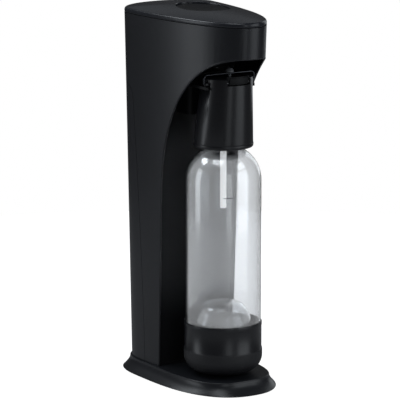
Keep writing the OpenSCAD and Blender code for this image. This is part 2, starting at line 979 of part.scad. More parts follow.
plinth();
bottom_plate();
plinth_screws();
rubber_feet();
front_shell();
front_panel();
top_cap();
chassis_deck();
deck_screws();
valve_holder();
holder_seal();
relief_valve();
gas_tube();
tube_nuts();
dock_block();
dock_screws();
dock_nozzle();
nozzle_seal();
dock_fork();
lever_bracket();
lever_pin();
cylinder_cradle();
push_button();
button_spring();
actuator_lever();
valve_pusher();
rear_cover();
co2_cylinder();
cylinder_valve();
infuser_housing();
infuser_rim();
infuser_core();
infuser_gasket();
infuser_top();
release_tab();
release_pin();
slow_release_knob();
bail_wire();
dip_tube();
bottle();
base_cup();
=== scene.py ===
"""Looks of a free-standing soda carbonator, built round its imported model.

Shapes are worked out in millimetres."""

import bpy
import bmesh
import math
from mathutils import Matrix, Vector


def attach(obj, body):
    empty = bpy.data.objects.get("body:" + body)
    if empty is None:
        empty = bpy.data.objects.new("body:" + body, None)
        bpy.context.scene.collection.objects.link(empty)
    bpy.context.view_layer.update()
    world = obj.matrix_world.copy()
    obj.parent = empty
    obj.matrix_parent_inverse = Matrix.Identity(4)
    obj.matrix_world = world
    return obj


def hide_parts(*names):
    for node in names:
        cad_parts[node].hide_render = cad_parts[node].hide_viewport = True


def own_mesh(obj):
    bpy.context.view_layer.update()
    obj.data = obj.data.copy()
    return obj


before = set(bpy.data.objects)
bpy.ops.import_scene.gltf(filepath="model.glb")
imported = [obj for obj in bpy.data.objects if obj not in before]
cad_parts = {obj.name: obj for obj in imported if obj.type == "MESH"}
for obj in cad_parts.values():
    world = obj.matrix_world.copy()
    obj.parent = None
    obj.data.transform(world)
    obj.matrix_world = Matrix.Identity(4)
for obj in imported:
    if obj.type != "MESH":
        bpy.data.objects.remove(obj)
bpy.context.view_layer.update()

MM = 0.001

# ---- sizes shared with the CAD, in millimetres ----
BODY_FOOT = 14.7
SEAM = 403.0
CAP_EDGE = 408.5
CROWN = 7.0
EDGE_ROUND = 2.9
WALL = 2.6
ARCH_SPRING = 182.0
ARCH_TOP = 370.0
ARCH_START = 8.8
ARCH_CENTRE = -104.0
ARCH_FOOT = 15.0
FOOT_LIFT = 1.2
BUTTON_HALF = 25.0
BUTTON_LONG = 37.6
BUTTON_FACE = 412.4
BUTTON_DEEP = 9.0
BUTTON_WALL = 2.2
BUTTON_EDGE = 1.2
BUTTON_ROOF = 2.6
STEM_RADIUS = 4.0
STEM_FOOT = 390.5
DISH_RADIUS = 160.0
DISH_SINK = 1.6
AXIS_Y = -42.0
BOTTLE_RADIUS = 41.5
BOTTLE_WALL = 1.2
NECK_RADIUS = 16.0
NECK_TOP = 293.4
SHOULDER_LOW = 230.0
SHOULDER_TALL = 39.3
HEEL = 9.0
HEEL_LOW = 31.0
PUNT_TOP = 94.0
PUNT_POWER = 3.6
CUP_LIP = 73.0
RIM_LOW = 266.8
RIM_HIGH = 271.4
RIM_RADIUS = 32.7
KNOB_X = 4.4
KNOB_Y = AXIS_Y - 5.3
KNOB_Z = 347.4
TUBE_RADIUS = 3.45
TUBE_LOW = 198.6
TUBE_HIGH = 311.9
AROUND = 256


# ---- outlines ----
def mix(a, b, t):
    return a + (b - a) * t


def bend(v, e):
    return math.copysign(abs(v) ** e, v)


def egg(half, front, back, middle, front_powers, back_powers, count):
    """Closed egg-shaped outline, each half with its own pair of powers."""
    points = []
    for i in range(count):
        a = 2 * math.pi * i / count
        along, across = front_powers if math.sin(a) < 0 else back_powers
        reach = middle - front if math.sin(a) < 0 else back - middle
        points.append((half * bend(math.cos(a), 2 / across), middle + reach * bend(math.sin(a), 2 / along)))
    return points


def body_at(z):
    """Half width, front, back and widest place of the body at height z."""
    t = (z - BODY_FOOT) / (CAP_EDGE - BODY_FOOT)
    return mix(50.2, 55.8, t), mix(-81, -104.4, t), mix(95, 101.5, t), mix(45, 68.8, t)


def body_outline(z, inset=0.0, count=AROUND):
    t = (z - BODY_FOOT) / (CAP_EDGE - BODY_FOOT)
    half, front, back, middle = body_at(z)
    powers = (mix(3.2, 1.7, t), mix(2.8, 2.2, t))
    return egg(half - inset, front + inset, back - inset, middle, (2, 2.2), powers, count)


def plinth_outline(part, inset, count=AROUND):
    """Outline of the plinth: part 0 is its foot and 1 is its flat top."""
    return egg(
        mix(64.2, 52.7, part) - inset,
        mix(-104.2, -89.8, part) + inset,
        mix(104.4, 99.4, part) - inset,
        mix(34.7, 36.2, part),
        (mix(3, 3.9, part), mix(2.3, 3.2, part)),
        (mix(2.8, 3.2, part), mix(2.5, 2.7, part)),
        count,
    )


def oval(grow, count=AROUND):
    points = []
    for i in range(count):
        a = 2 * math.pi * i / count
        points.append(((BUTTON_HALF + grow) * math.cos(a), (BUTTON_LONG + grow) * math.sin(a)))
    return points


def level(z, outline):
    """An outline lifted to one height."""
    return [Vector((x, y, z)) for x, y in outline]


# ---- building ----
def set_ring(ring, points):
    for vert, point in zip(ring, points):
        vert.co = point


def loft(rows, ends="closed"):
    """Stacks rings of points. A circle is put on the first, and each next one is extruded from the last."""
    bm = bmesh.new()
    made = bmesh.ops.create_circle(bm, cap_ends=False, segments=len(rows[0]), radius=1)
    ring = list(made["verts"])
    set_ring(ring, rows[0])
    first = [e for e in bm.edges]
    edges = list(first)
    for points in rows[1:]:
        made = bmesh.ops.extrude_edge_only(bm, edges=edges)
        fresh = {v for v in made["geom"] if isinstance(v, bmesh.types.BMVert)}
        place = {v: i for i, v in enumerate(ring)}
        following = [None] * len(ring)
        for vert in fresh:
            for edge in vert.link_edges:
                other = edge.other_vert(vert)
                if other in place:
                    following[place[other]] = vert
        ring = following
        set_ring(ring, points)
        edges = [
            e for e in made["geom"]
            if isinstance(e, bmesh.types.BMEdge) and all(v in fresh for v in e.verts)
        ]
    if ends == "closed":
        bmesh.ops.contextual_create(bm, geom=first)
        bmesh.ops.contextual_create(bm, geom=edges)
    if ends == "joined":
        bmesh.ops.bridge_loops(bm, edges=first + edges)
    bmesh.ops.recalc_face_normals(bm, faces=bm.faces)
    return bm


def turned(profile, y=AXIS_Y, steps=128, closed=False):
    """Spins a profile of (radius, height) round the upright line at y."""
    bm = bmesh.new()
    verts = [bm.verts.new((radius, y, height)) for radius, height in profile]
    pairs = list(zip(verts, verts[1:]))
    if closed:
        pairs.append((verts[-1], verts[0]))
    edges = [bm.edges.new(pair) for pair in pairs]
    bmesh.ops.spin(
        bm, geom=verts + edges, cent=(0, y, 0), axis=(0, 0, 1), angle=2 * math.pi, steps=steps, use_merge=True
    )
    bmesh.ops.remove_doubles(bm, verts=bm.verts, dist=0.001)
    bmesh.ops.recalc_face_normals(bm, faces=bm.faces)
    return bm


def finish_piece(bm, name, body, material, nodes=(), sharp=35):
    """Turns millimetres to metres, shades the mesh and hangs it on its body."""
    bmesh.ops.scale(bm, vec=(MM, MM, MM), verts=bm.verts)
    mesh = bpy.data.meshes.new(name)
    bm.to_mesh(mesh)
    bm.free()
    return place_mesh(mesh, name, body, material, nodes, sharp)


def place_mesh(mesh, name, body, material, nodes, sharp):
    for polygon in mesh.polygons:
        polygon.use_smooth = True
    mesh.set_sharp_from_angle(angle=math.radians(sharp))
    mesh.materials.clear()
    mesh.materials.append(material)
    piece = bpy.data.objects.new(name, mesh)
    bpy.context.scene.collection.objects.link(piece)
    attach(piece, body)
    if nodes:
        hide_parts(*nodes)
    return piece


def refined(node, name, body, material, sharp=30, round_mm=0.0):
    """A merged, smoothly shaded copy of a CAD node, with its edges rounded if asked."""
    bm = bmesh.new()
    bm.from_mesh(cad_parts[node].data)
    bmesh.ops.remove_doubles(bm, verts=bm.verts, dist=0.00001)
    bmesh.ops.dissolve_limit(
        bm, angle_limit=math.radians(0.5), verts=bm.verts, edges=bm.edges, use_dissolve_boundaries=False
    )
    if round_mm:
        keen = [e for e in bm.edges if len(e.link_faces) == 2 and e.calc_face_angle(0) > math.radians(40)]
        bmesh.ops.bevel(
            bm, geom=keen, offset=round_mm * MM, segments=3, profile=0.5, affect="EDGES", material=-1,
            clamp_overlap=True,
        )
    mesh = bpy.data.meshes.new(name)
    bm.to_mesh(mesh)
    bm.free()
    return place_mesh(mesh, name, body, material, (node,), sharp)


def tube_along(path, radius, sides=16):
    """A round tube along points, closed at both ends."""
    rows = []
    for i, here in enumerate(path):
        along = (path[min(i + 1, len(path) - 1)] - path[max(i - 1, 0)]).normalized()
        guide = Vector((0, 0, 1)) if abs(along.z) < 0.9 else Vector((0, 1, 0))
        side = along.cross(guide).normalized()
        lift = along.cross(side)
        ring = []
        for k in range(sides):
            a = 2 * math.pi * k / sides
            ring.append(here + radius * (math.cos(a) * side + math.sin(a) * lift))
        rows.append(ring)
    return loft(rows)


# ---- materials ----
def linear(code):
    """A linear colour from an sRGB hex code."""
    parts = [int(code[i:i + 2], 16) / 255 for i in (0, 2, 4)]
    return tuple(c / 12.92 if c <= 0.04045 else ((c + 0.055) / 1.055) ** 2.4 for c in parts) + (1.0,)


def add(tree, kind, settings=None, values=None, links=None):
    """Adds a node with its settings, socket values and incoming links."""
    node = tree.nodes.new(kind)
    for key, value in (settings or {}).items():
        setattr(node, key, value)
    for key, value in (values or {}).items():
        node.inputs[key].default_value = value
    for key, source in (links or {}).items():
        tree.links.new(source, node.inputs[key])
    return node


def per_metre(millimetres):
    """Noise scale whose features are about this many millimetres across."""
    return 1 / (millimetres * MM)


def blank(name):
    material = bpy.data.materials.new(name)
    material.use_nodes = True
    tree = material.node_tree
    tree.nodes.clear()
    return material, tree


DULL_STEP = 0.22


def moulded_plastic(
    name, dark, light, rough, spread, grain_mm, grain_deep, ior=1.54, shine=0.5, dull_below=0
):
    """ABS and similar, injection moulded against an etched tool, which may be coarser below a height."""
    material, tree = blank(name)
    place = add(tree, "ShaderNodeTexCoord").outputs["Object"]
    flow = add(tree, "ShaderNodeTexNoise", {}, {"Scale": per_metre(60), "Detail": 3.0}, {"Vector": place})
    grain = add(
        tree, "ShaderNodeTexNoise", {}, {"Scale": per_metre(grain_mm), "Detail": 2.0}, {"Vector": place}
    )
    colour = add(
        tree, "ShaderNodeMix", {"data_type": "RGBA"}, {6: linear(dark), 7: linear(light)},
        {0: flow.outputs["Fac"]},
    )
    gloss = add(
        tree, "ShaderNodeMapRange", {},
        {"From Min": 0.3, "From Max": 0.7, "To Min": rough - spread, "To Max": rough + spread},
        {"Value": grain.outputs["Fac"]},
    )
    height = add(tree, "ShaderNodeSeparateXYZ", {}, {}, {"Vector": place}).outputs["Z"]
    coarse = add(
        tree, "ShaderNodeMapRange", {},
        {
            "From Min": (dull_below - 0.2) * MM, "From Max": (dull_below + 0.2) * MM,
            "To Min": DULL_STEP, "To Max": 0.0,
        },
        {"Value": height},
    )
    roughness = add(
        tree, "ShaderNodeMath", {"operation": "ADD"}, {},
        {0: gloss.outputs["Result"], 1: coarse.outputs["Result"]},
    )
    bump = add(
        tree, "ShaderNodeBump", {}, {"Strength": 0.35, "Distance": grain_deep * MM},
        {"Height": grain.outputs["Fac"]},
    )
    shader = add(
        tree, "ShaderNodeBsdfPrincipled", {}, {"IOR": ior, "Specular IOR Level": shine},
        {
            "Base Color": colour.outputs[2], "Roughness": roughness.outputs[0],
            "Normal": bump.outputs["Normal"],
        },
    )
    add(tree, "ShaderNodeOutputMaterial", {}, {}, {"Surface": shader.outputs["BSDF"]})
    return material


def worked_metal(name, dark, light, rough, spread, stretch, line_mm):
    """Bare metal with tool marks drawn out along one direction."""
    material, tree = blank(name)
    place = add(tree, "ShaderNodeTexCoord").outputs["Object"]
    drawn = add(tree, "ShaderNodeMapping", {}, {"Scale": stretch}, {"Vector": place})
    marks = add(
        tree, "ShaderNodeTexNoise", {}, {"Scale": per_metre(line_mm), "Detail": 4.0},
        {"Vector": drawn.outputs["Vector"]},
    )
    colour = add(
        tree, "ShaderNodeMix", {"data_type": "RGBA"}, {6: linear(dark), 7: linear(light)},
        {0: marks.outputs["Fac"]},
    )
    gloss = add(
        tree, "ShaderNodeMapRange", {},
        {"From Min": 0.3, "From Max": 0.7, "To Min": rough - spread, "To Max": rough + spread},
        {"Value": marks.outputs["Fac"]},
    )
    bump = add(
        tree, "ShaderNodeBump", {}, {"Strength": 0.2, "Distance": 0.02 * MM}, {"Height": marks.outputs["Fac"]}
    )
    shader = add(
        tree, "ShaderNodeBsdfPrincipled", {}, {"Metallic": 1.0},
        {
            "Base Color": colour.outputs[2], "Roughness": gloss.outputs["Result"],
            "Normal": bump.outputs["Normal"],
        },
    )
    add(tree, "ShaderNodeOutputMaterial", {}, {}, {"Surface": shader.outputs["BSDF"]})
    return material


def blown_bottle(name):
    """Clear PET, stretch blown: faint upright flow ripples and a slight grey tint."""
    material, tree = blank(name)
    place = add(tree, "ShaderNodeTexCoord").outputs["Object"]
    drawn = add(tree, "ShaderNodeMapping", {}, {"Scale": (1.0, 1.0, 0.25)}, {"Vector": place})
    ripple = add(
        tree, "ShaderNodeTexNoise", {}, {"Scale": per_metre(14), "Detail": 2.0},
        {"Vector": drawn.outputs["Vector"]},
    )
    bump = add(
        tree, "ShaderNodeBump", {}, {"Strength": 0.25, "Distance": 0.12 * MM},
        {"Height": ripple.outputs["Fac"]},
    )
    gloss = add(
        tree, "ShaderNodeMapRange", {},
        {"From Min": 0.3, "From Max": 0.7, "To Min": 0.02, "To Max": 0.07},
        {"Value": ripple.outputs["Fac"]},
    )
    shader = add(
        tree, "ShaderNodeBsdfPrincipled", {},
        {
            "Base Color": linear("F4F6F8"), "IOR": 1.57, "Transmission Weight": 1.0,
            "Coat Weight": 1.0, "Coat IOR": 1.9, "Coat Roughness": 0.24,
        },
        {"Roughness": gloss.outputs["Result"], "Normal": bump.outputs["Normal"]},
    )
    add(tree, "ShaderNodeOutputMaterial", {}, {}, {"Surface": shader.outputs["BSDF"]})
    return material


# black ABS, etched mould: soft wide highlights with a faint cool cast
BODY_ABS = moulded_plastic("etched_black_abs", "17191D", "1E2026", 0.35, 0.03, 1.1, 0.015)
# same resin on the recessed panel and the dock block, a touch darker and duller: the darker colour is painted
# shade for the recess
SHADED_PANEL_ABS = moulded_plastic("panel_black_abs_painted_shade", "0F1013", "141518", 0.55, 0.05, 1.1, 0.05, 1.54, 0.3)
# satin mould: the cap shows a smoother sheen than the walls
CAP_ABS = moulded_plastic("satin_cap_abs", "1C1E24", "24272E", 0.28, 0.02, 0.9, 0.006)
# plinth: same satin, a little darker
PLINTH_ABS = moulded_plastic("satin_plinth_abs", "191B1F", "212328", 0.33, 0.03, 0.9, 0.01)
# pressed parts, the button and the release catch: darker and duller than the cap, the darker colour painted
# shade for the recesses they sit in
SHADED_BUTTON_ABS = moulded_plastic("button_abs_painted_shade", "0F1012", "141518", 0.5, 0.05, 0.9, 0.02, 1.54, 0.2)
# infuser and cup: finer, slightly glossier polypropylene
INFUSER_PP = moulded_plastic("satin_infuser_pp", "17181B", "1D1E22", 0.3, 0.03, 0.8, 0.02, 1.52)
# cup: the same resin, from a tool etched coarser below its step
CUP_PP = moulded_plastic("two_tier_cup_pp", "191A1D", "1F2024", 0.3, 0.03, 0.8, 0.02, 1.52, 0.5, 42.6)
# unseen inner mouldings, glass-filled nylon with its mottled skin
INNER_PA = moulded_plastic("glass_filled_nylon", "2A2B2E", "3A3B3F", 0.52, 0.08, 0.7, 0.06, 1.53)
# rubber feet and seals: dull with a fine bloom
RUBBER = moulded_plastic("moulded_rubber", "101112", "1B1C1D", 0.72, 0.08, 0.6, 0.05, 1.52)
# silicone gasket
SILICONE = moulded_plastic("red_silicone", "6E1518", "8A1D20", 0.5, 0.06, 0.6, 0.03, 1.41)
# milky polypropylene tube, which glows with painted light, and grey knob, both smooth
GLOWING_TUBE_PP = moulded_plastic("milky_pp_tube_painted_glow", "F2F3F3", "FCFCFB", 0.3, 0.04, 0.8, 0.01, 1.49)
# painted light: the tube gets an emission so it glows white inside the bottle
for node in GLOWING_TUBE_PP.node_tree.nodes:
    if node.type == "BSDF_PRINCIPLED":
        node.inputs["Emission Color"].default_value = linear("FFFFFF")
        node.inputs["Emission Strength"].default_value = 0.42
KNOB_PP = moulded_plastic("grey_pp_knob", "6E7175", "7D8084", 0.3, 0.05, 0.8, 0.02, 1.49)
# print on the bottle: one matt ink line
FILL_INK = moulded_plastic("fill_mark_ink", "2B2D30", "3A3C40", 0.6, 0.05, 0.6, 0.01, 1.5)
# black oxide on pressed steel; on the dock fork the same dark colour is painted shade
OXIDE_AND_SHADE_STEEL = moulded_plastic("black_oxide_and_painted_shade_steel", "121315", "1B1C1E", 0.5, 0.08, 1.6, 0.02, 1.6, 0.35)
# turned and drawn metals: lines run round or along the part
STEEL = worked_metal("turned_steel", "9DA0A4", "C9CBCE", 0.28, 0.08, (1.0, 1.0, 6.0), 2.0)
WIRE_STEEL = worked_metal("drawn_wire_steel", "3E4044", "5A5C60", 0.32, 0.06, (0.3, 3.0, 3.0), 1.5)
BRASS = worked_metal("turned_brass", "A88A45", "C8A960", 0.3, 0.08, (1.0, 1.0, 6.0), 2.0)
ZINC = worked_metal("die_cast_zinc", "6A6D71", "8C8F93", 0.46, 0.1, (1.0, 1.0, 1.0), 1.5)
ALUMINIUM = worked_metal("brushed_aluminium", "A7A9AC", "CDCFD1", 0.34, 0.08, (1.0, 1.0, 8.0), 3.0)
PET = blown_bottle("blown_clear_pet")


# ---- body ----
def arch_height(y):
    """Height of the cut-out's edge at a distance y from the front."""
    share = max(0.0, min(1.0, (y - ARCH_CENTRE) / (ARCH_START - ARCH_CENTRE)))
    cosine = share ** (1.8 / 2)
    return ARCH_SPRING + (ARCH_TOP - ARCH_SPRING) * (1 - cosine * cosine) ** (1 / 2.5)


def wall_point(y, z, inset):
    """The point of the wall at that height and depth, on its +X side."""
    half, front, _, middle = body_at(z)
    sine = max(0.0, min(1.0, (middle - y) / (middle - front - inset)))
    return Vector(((half - inset) * (1 - sine * sine) ** (1 / 2.2), y, z))


def nose_point(a, inset):
    """The point where the cut-out's edge meets the wall, a being the angle round from its widest place."""
    y = -60.0
    for _ in range(40):
        z = arch_height(y)
        half, front, _, middle = body_at(z)
        y = middle - (middle - front - inset) * math.sin(a)
    return Vector(((half - inset) * bend(math.cos(a), 2 / 2.2), y, z))


def arch_edge(inset):
    """The edge of the cut-out from the foot of one side, over the nose and down the other."""
    side = []
    rows = 26
    for k in range(rows):
        z = mix(BODY_FOOT + 0.5, ARCH_SPRING, k / rows)
        along = (z - BODY_FOOT) / (ARCH_SPRING - BODY_FOOT)
        side.append(wall_point(mix(ARCH_FOOT, ARCH_START, along), z, inset))
    springing = body_at(ARCH_SPRING)
    start = math.asin((springing[3] - ARCH_START) / (springing[3] - springing[1]))
    turns = 90
    for k in range(turns + 1):
        side.append(nose_point(mix(start, math.pi / 2, 1 - (1 - k / turns) ** 1.3), inset))
    other = [Vector((-p.x, p.y, p.z)) for p in reversed(side[:-1])]
    return side + other


refined("front_shell", "body_shell", "machine", BODY_ABS, 40)
refined("rear_cover", "rear_cover_shell", "cover", BODY_ABS, 40)
refined("front_panel", "recess_panel", "machine", SHADED_PANEL_ABS, 30)
finish_piece(
    tube_along(arch_edge(WALL / 2), WALL / 2 + 0.05, 12),
    "arch_bead", "machine", BODY_ABS, (), 80,
)


def crown_height(t):
    return CAP_EDGE + 0.2 + (CROWN - 0.2) * (1 - t * t)


def oval_share(point, grow):
    """How far out along the ray to a point the well's edge lies, as a share of the way."""
    return 1 / math.hypot(point[0] / (BUTTON_HALF + grow), point[1] / (BUTTON_LONG + grow))


def build_cap():
    edge = body_outline(CAP_EDGE, EDGE_ROUND)
    rows = [
        level(SEAM + 0.2, body_outline(SEAM, 1.4)),
        level(SEAM + 0.25, body_outline(SEAM, 0.9)),
        level(SEAM + 0.6, body_outline(SEAM, 0.35)),
        level(SEAM + 1.2, body_outline(SEAM + 1, 0.08)),
        level(SEAM + 2.2, body_outline(SEAM + 2, 0)),
    ]
    for k in range(9):
        a = math.pi / 2 * k / 8
        low = CAP_EDGE - EDGE_ROUND
        outline = body_outline(mix(low, CAP_EDGE, k / 8), EDGE_ROUND * (1 - math.cos(a)))
        rows.append(level(low + (EDGE_ROUND + 0.2) * math.sin(a), outline))
    steps = 22
    for k in range(1, steps + 1):
        ring = []
        for p in edge:
            t = mix(1, oval_share(p, 1.4), k / steps)
            ring.append(Vector((p[0] * t, p[1] * t, crown_height(t))))
        rows.append(ring)
    lip = rows[-1]
    for k in range(1, 5):
        a = math.pi / 2 * k / 4
        ring = []
        for p, top in zip(edge, lip):
            t = oval_share(p, 1.4 - 0.9 * math.sin(a))
            ring.append(Vector((p[0] * t, p[1] * t, top.z - 0.9 * (1 - math.cos(a)))))
        rows.append(ring)
    for drop, grow in ((CAP_EDGE - 8.5, 0.5), (CAP_EDGE - 8.5, 2.6), (CAP_EDGE + 1.6, 2.6)):
        rows.append([Vector((p[0] * oval_share(p, grow), p[1] * oval_share(p, grow), drop)) for p in edge])
    rows.append(level(CAP_EDGE - 3, body_outline(CAP_EDGE - 3, WALL)))
    rows.append(level(SEAM + 0.2, body_outline(SEAM, WALL)))
    return loft(rows, "joined")


finish_piece(build_cap(), "crowned_cap", "machine", CAP_ABS, ("top_cap",), 40)


def build_plinth():
    foot = FOOT_LIFT
    rows = [
        level(11.5, plinth_outline(1, 3.4)),
        level(foot + 0.3, plinth_outline(1, 3.4)),
        level(foot, plinth_outline(1, 3.1)),
        level(foot, plinth_outline(0, 1.0)),
        level(foot + 0.15, plinth_outline(0, 0.4)),
        level(foot + 0.7, plinth_outline(0, 0.0)),
    ]
    steps = 26
    for k in range(1, steps + 1):
        t = k / steps
        rows.append(level(mix(foot + 0.7, BODY_FOOT - 0.8, t), plinth_outline(1 - (1 - t) ** 1.9, 0)))
    for k in range(1, 5):
        a = math.pi / 2 * k / 4
        rows.append(level(BODY_FOOT - 0.8 + 0.8 * math.sin(a), plinth_outline(1, 0.8 * (1 - math.cos(a)))))
    return loft(rows)


finish_piece(build_plinth(), "skirted_plinth", "machine", PLINTH_ABS, ("plinth",), 40)


def dish_height(radius):
    flat = math.sqrt(DISH_RADIUS ** 2 - (DISH_RADIUS - DISH_SINK) ** 2)
    if radius >= flat:
        return BUTTON_FACE
    return BUTTON_FACE + DISH_RADIUS - DISH_SINK - math.sqrt(DISH_RADIUS ** 2 - radius ** 2)


def build_button():
    """A dished oval cap, hollow underneath, with the stem that presses on the lever."""
    stem = [(x / BUTTON_HALF * STEM_RADIUS, y / BUTTON_LONG * STEM_RADIUS) for x, y in oval(0)]
    ceiling = BUTTON_FACE - BUTTON_ROOF
    rows = [level(STEM_FOOT, stem), level(ceiling, stem)]
    rows += [level(ceiling, oval(-BUTTON_WALL)), level(BUTTON_FACE - BUTTON_DEEP, oval(-BUTTON_WALL))]
    rows += [level(BUTTON_FACE - BUTTON_DEEP, oval(0)), level(BUTTON_FACE - BUTTON_EDGE, oval(0))]
    for k in range(1, 6):
        a = math.pi / 2 * k / 5
        rows.append(level(BUTTON_FACE - BUTTON_EDGE + BUTTON_EDGE * math.sin(a), oval(-BUTTON_EDGE * (1 - math.cos(a)))))
    steps = 16
    inner = oval(-BUTTON_EDGE)
    for k in range(1, steps):
        t = 1 - k / steps
        rows.append([Vector((x * t, y * t, dish_height(math.hypot(x * t, y * t)))) for x, y in inner])
    return loft(rows)


finish_piece(build_button(), "dished_button", "button", SHADED_BUTTON_ABS, ("push_button",), 40)


# ---- bottle ----
def heel_start(inset):
    """Angle on the heel where the wall meets the hollow in the foot."""
    return math.asin(inset / (HEEL - inset))


def bottle_wall(inset):
    """Outside of the bottle from its foot to its mouth, moved inwards by inset."""
    points = []
    for k in range(13):
        a = mix(heel_start(inset), math.pi / 2, k / 12)
        turn = HEEL - inset
        points.append((BOTTLE_RADIUS - HEEL + turn * math.sin(a), HEEL_LOW - turn * math.cos(a)))
    for z in (60, 100, 140, 180, 215):
        points.append((BOTTLE_RADIUS - inset, z))
    reach = BOTTLE_RADIUS - inset
    tall = SHOULDER_TALL - inset
    last = math.acos((NECK_RADIUS - inset) / reach)
    for k in range(29):
        a = last * k / 28
        points.append((reach * math.cos(a), SHOULDER_LOW + tall * math.sin(a)))
    points.append((NECK_RADIUS - inset, NECK_TOP))
    return points


def punt(inset):
    """The blunt dome pushed up into the bottle's foot, from its middle to its edge."""
    points = []
    low = HEEL_LOW - (HEEL - inset) * math.cos(heel_start(inset))
    for k in range(33):
        a = math.pi / 2 * k / 32
        reach = (BOTTLE_RADIUS - HEEL + inset) * bend(math.sin(a), 2 / PUNT_POWER)
        points.append((reach, low + (PUNT_TOP + inset - low) * bend(math.cos(a), 2 / PUNT_POWER)))
    return points


outside = punt(0) + bottle_wall(0)[1:]
inside = punt(BOTTLE_WALL) + bottle_wall(BOTTLE_WALL)[1:]
finish_piece(
    turned(outside + list(reversed(inside))),
    "clear_bottle", "bottle", PET, ("bottle",), 50,
)


def build_cup():
    profile = [(0, 16.4), (22, 16.4)]
    for k in range(1, 15):
        a = math.pi / 2 * k / 14
        profile.append((22 + 21 * math.sin(a), 35.4 - 19 * math.cos(a)))
    profile += [(43, 41.4), (42.9, 42.4), (42.55, 43.0), (42.2, 43.5), (42.2, CUP_LIP - 5.4)]
    profile += [(42.25, CUP_LIP - 4.9), (42.45, CUP_LIP - 4.5), (42.5, CUP_LIP - 4.0), (42.5, CUP_LIP - 0.9)]
    profile += [(42.4, CUP_LIP - 0.4), (42.1, CUP_LIP), (41.65, CUP_LIP), (41.6, CUP_LIP - 0.5), (41.6, 31)]
    for k in range(1, 8):
        a = math.pi / 2 * (1 - k / 8)
        profile.append((32.5 + 9.3 * math.sin(a), 31 - 9.3 * math.cos(a)))
    profile += [(30, 20.6), (0, 19)]
    return turned(profile)


finish_piece(build_cup(), "stepped_cup", "bottle", CUP_PP, ("base_cup",), 35)


def build_fill_mark():
    """A short raised line on the shoulder of the bottle, at the height to fill it to."""
    bm = bmesh.new()
    low = 216.6
    high = 217.2
    near = BOTTLE_RADIUS + 0.04
    far = BOTTLE_RADIUS + 0.14
    corners = [(near, low), (far, low), (far, high), (near, high)]
    turn = Matrix.Rotation(math.radians(-122), 3, "Z")
    verts = [bm.verts.new(turn @ Vector((r, 0, z)) + Vector((0, AXIS_Y, 0))) for r, z in corners]
    face = bm.faces.new(verts)
    bmesh.ops.spin(
        bm, geom=[face], cent=(0, AXIS_Y, 0), axis=(0, 0, 1),
        angle=math.radians(14), steps=10, use_merge=False,
    )
    bmesh.ops.contextual_create(bm, geom=[e for e in bm.edges if e.is_boundary])
    bmesh.ops.recalc_face_normals(bm, faces=bm.faces)
    return bm


finish_piece(build_fill_mark(), "fill_mark", "bottle", FILL_INK, (), 35)

# ---- infuser ----
refined("infuser_housing", "infuser_cone", "infuser", INFUSER_PP, 35)
refined("infuser_top", "infuser_lid", "infuser", INFUSER_PP, 35)
rim_profile = [
    (25, RIM_LOW + 1), (RIM_RADIUS - 2.2, RIM_LOW), (RIM_RADIUS - 1.1, RIM_LOW + 0.3),
    (RIM_RADIUS - 0.35, RIM_LOW + 1.1), (RIM_RADIUS, RIM_LOW + 2.4), (RIM_RADIUS, RIM_HIGH - 0.6),
    (RIM_RADIUS - 0.15, RIM_HIGH - 0.15), (RIM_RADIUS - 0.6, RIM_HIGH), (25, RIM_HIGH),
]
finish_piece(
    turned(rim_profile, closed=True),
    "infuser_collar", "infuser", INFUSER_PP, ("infuser_rim",), 30,
)
refined("release_tab", "release_catch", "tab", SHADED_BUTTON_ABS, 35, 0.25)
knob_profile = [(0, 334), (2, 334), (2, KNOB_Z), (4.6, KNOB_Z), (4.85, KNOB_Z + 0.2)]
for k in range(12):
    a = math.pi / 2 * k / 12
    knob_profile.append((4.9 * math.cos(a), KNOB_Z + 0.8 + 4.6 * math.sin(a)))
knob_profile.append((0, KNOB_Z + 5.4))
knob = turned(knob_profile, KNOB_Y, 48)
bmesh.ops.translate(knob, vec=(KNOB_X, 0, 0), verts=knob.verts)
finish_piece(knob, "release_knob", "knob", KNOB_PP, ("slow_release_knob",), 35)
refined("bail_wire", "wire_bail", "bail", WIRE_STEEL, 60)
tube_profile = [
    (TUBE_RADIUS - 0.95, TUBE_LOW), (TUBE_RADIUS - 0.2, TUBE_LOW), (TUBE_RADIUS, TUBE_LOW + 0.25),
    (TUBE_RADIUS, TUBE_HIGH), (TUBE_RADIUS - 0.95, TUBE_HIGH),
]
finish_piece(
    turned(tube_profile, AXIS_Y, 48, True),
    "carbonating_tube", "infuser", GLOWING_TUBE_PP, ("dip_tube",), 40,
)

# ---- the CAD's own parts, kept and given their finish ----
KEPT = {
    "bottom_plate": PLINTH_ABS, "rubber_feet": RUBBER, "plinth_screws": STEEL, "chassis_deck": OXIDE_AND_SHADE_STEEL,
    "deck_screws": STEEL, "valve_holder": ZINC, "holder_seal": RUBBER, "relief_valve": BRASS,
    "gas_tube": STEEL,
    # the dock block takes the panel's darker colour: painted shade where it sits in the arch
    "tube_nuts": BRASS, "dock_block": SHADED_PANEL_ABS, "dock_screws": STEEL, "dock_nozzle": STEEL,
    # the dock fork takes the dark oxide steel as painted shade where it sits in the arch
    "nozzle_seal": RUBBER, "dock_fork": OXIDE_AND_SHADE_STEEL, "lever_bracket": OXIDE_AND_SHADE_STEEL, "lever_pin": STEEL,
    "cylinder_cradle": PLINTH_ABS, "actuator_lever": INNER_PA, "valve_pusher": STEEL,
    "co2_cylinder": ALUMINIUM, "cylinder_valve": BRASS, "infuser_core": INNER_PA, "infuser_gasket": SILICONE,
    "release_pin": STEEL,
}
for node, material in KEPT.items():
    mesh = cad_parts[node].data
    mesh.materials.clear()
    mesh.materials.append(material)

# The coil spring stands on the deck and gets a mesh of its own.
coil_spring = refined("button_spring", "coil_spring", "machine", STEEL)
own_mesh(coil_spring)


# ---- stage ----
FLOOR_RADIUS = 0.9
ROOM_GLOW = 0.05
ROOM_FILL = 0.14


